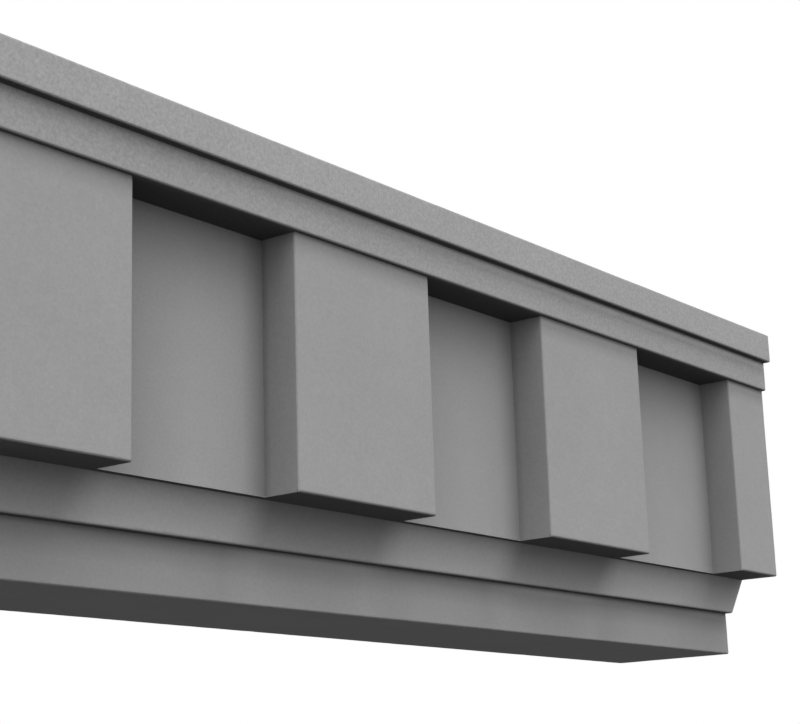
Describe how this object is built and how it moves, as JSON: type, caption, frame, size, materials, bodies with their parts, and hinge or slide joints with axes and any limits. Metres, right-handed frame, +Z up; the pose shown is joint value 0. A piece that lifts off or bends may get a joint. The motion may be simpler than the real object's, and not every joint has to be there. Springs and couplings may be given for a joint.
{
  "type": "concrete cornice",
  "caption": "Straight length of cast concrete block cornice with a flat cap, plain bands, square blocks over shallow recesses and a splayed base band.",
  "frame": {"origin": "centre of the underside of the bounding box", "axes": "+X along the cornice to the right as seen from the front, the moulded front faces -Y, the flat back faces +Y, +Z up"},
  "size_m": [0.983, 0.187, 0.3],
  "materials": {
    "concrete": "smooth cast concrete, matt, plain mid grey"
  },
  "bodies": {
    "root": {"cornice": "concrete"}
  },
  "joints": []
}
